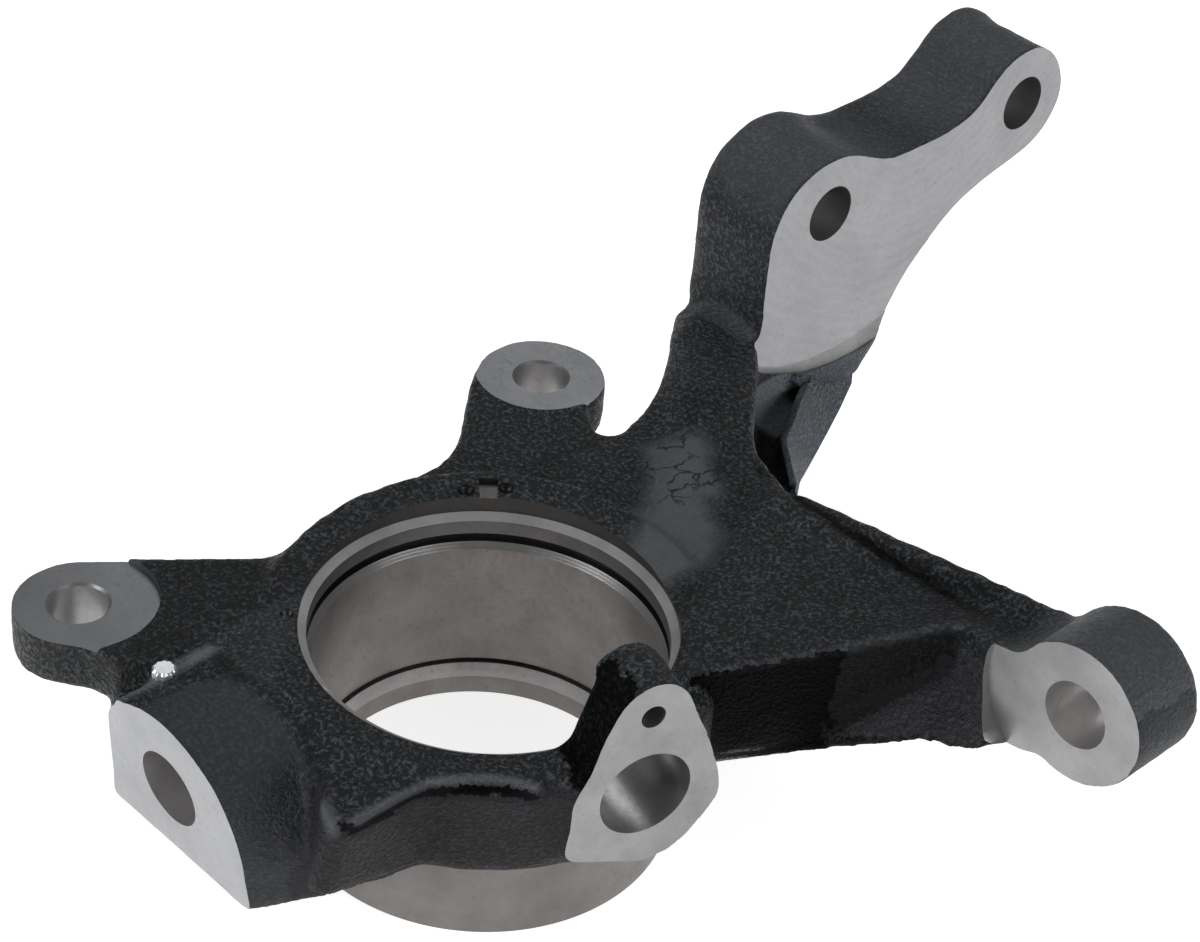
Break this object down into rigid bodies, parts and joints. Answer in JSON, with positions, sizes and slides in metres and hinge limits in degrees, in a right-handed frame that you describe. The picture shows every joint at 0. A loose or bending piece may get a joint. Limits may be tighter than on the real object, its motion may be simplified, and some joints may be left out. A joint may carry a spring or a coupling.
{
  "type": "steering knuckle",
  "caption": "Cast steering knuckle with a bearing bore, strut flange, steering arm, ball joint boss, caliper ears and sensor lug.",
  "frame": {"origin": "on the axis of the wheel bearing bore, in the plane of its mouth", "axes": "+Z along the bore axis out of its mouth on the retaining ring side, +Y towards the strut flange, +X the way the strut flange's milled face looks and towards the steering arm"},
  "size_m": [0.1933, 0.2929, 0.0993],
  "materials": {
    "casting": "black satin paint on a rough sand casting, with bare milled and turned faces"
  },
  "bodies": {
    "root": {"knuckle": "casting"}
  },
  "joints": []
}
